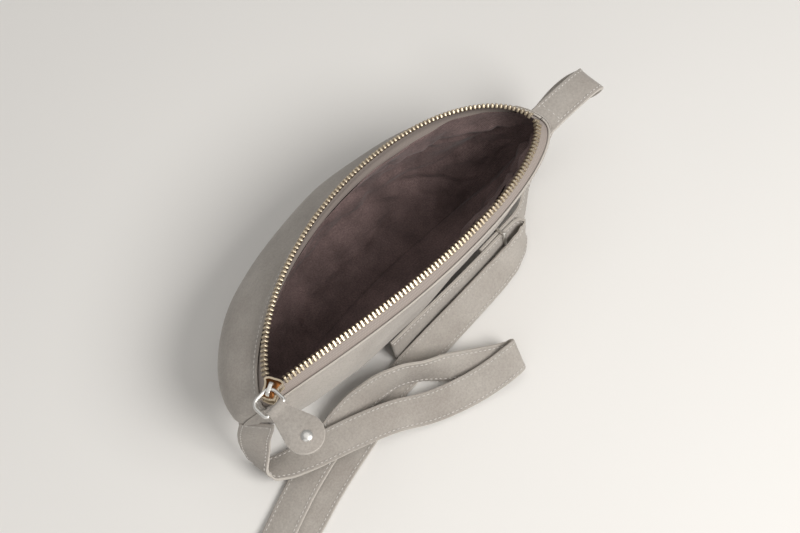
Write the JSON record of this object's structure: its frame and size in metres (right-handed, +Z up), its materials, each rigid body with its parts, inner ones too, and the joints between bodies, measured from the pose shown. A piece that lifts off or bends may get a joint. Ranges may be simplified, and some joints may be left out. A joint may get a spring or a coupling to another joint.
{
  "type": "fanny pack",
  "caption": "Small leather waist bag standing open, with a curved zip mouth, ring pull with a teardrop tab, dark lining and a narrow belt lying beside it.",
  "frame": {"origin": "on the resting surface, at the middle of the footprint of the bag and its belt", "axes": "+X along the mouth from the slider to the far end, +Y towards the full front panel, +Z up"},
  "size_m": [0.4212, 0.183, 0.1173],
  "materials": {
    "leather": "matte",
    "lining": "matte",
    "tape": "matte",
    "zip_metal": "polished",
    "ring_metal": "polished",
    "rivet_metal": "satin"
  },
  "bodies": {
    "bag": {"front_panel": "leather", "back_panel": "leather", "left_end_patch": "leather", "right_end_patch": "leather", "long_strap": "leather", "short_strap": "leather", "front_lining": "lining", "back_lining": "lining", "inner_pocket": "lining", "zip_tape_front": "tape", "zip_tape_back": "tape", "zip_tape_end": "tape", "zip_teeth_front": "zip_metal", "zip_teeth_back": "zip_metal", "zip_stop_front": "zip_metal", "zip_stop_back": "zip_metal"},
    "zip_slider": {"slider_body": "zip_metal", "slider_bail": "zip_metal"},
    "ring": {"pull_ring": "ring_metal"},
    "tab": {"pull_tab": "leather", "tab_rivet": "rivet_metal"},
    "slide_loop": {"strap_slide": "zip_metal"}
  },
  "joints": [
    {"name": "zip_travel", "type": "hinge", "parent": "bag", "child": "zip_slider", "pos_m": [0.0296, -0.45976, 0.1085], "axis": [0, 0, -1], "range_deg": [0, 28]},
    {"name": "ring_swing", "type": "hinge", "parent": "zip_slider", "child": "ring", "pos_m": [-0.10739, -0.00485, 0.11415], "axis": [-0.7071, 0.7071, 0], "range_deg": [0, 105]},
    {"name": "tab_swing", "type": "hinge", "parent": "ring", "child": "tab", "pos_m": [-0.11368, -0.01589, 0.11415], "axis": [-1, 0, 0], "range_deg": [0, 85]},
    {"name": "slide_travel", "type": "slide", "parent": "bag", "child": "slide_loop", "axis": [1, 0, 0], "range_m": [-0.01, 0.006]}
  ]
}
